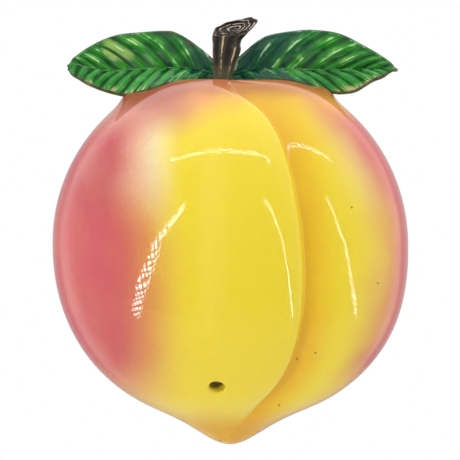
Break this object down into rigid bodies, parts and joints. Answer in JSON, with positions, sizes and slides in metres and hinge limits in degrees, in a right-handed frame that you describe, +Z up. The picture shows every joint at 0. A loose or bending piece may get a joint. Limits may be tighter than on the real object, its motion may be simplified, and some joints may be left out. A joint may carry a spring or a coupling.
{
  "type": "ceramic wall hanging",
  "caption": "Hollow glazed ceramic peach with leaves and a stem; it hangs flat on a wall by a hole in its back ledge and has a small string hole low in front.",
  "frame": {"origin": "on the flat back ledge, at the top in the middle, just above the nail hole", "axes": "+Z up along the wall, +Y into the wall, -Y out of the wall through the front of the peach, +X to the right seen from the front"},
  "size_m": [0.1368, 0.068, 0.1642],
  "materials": {
    "peach_glaze": "gloss"
  },
  "bodies": {
    "root": {"ceramic_peach": "peach_glaze"}
  },
  "joints": []
}
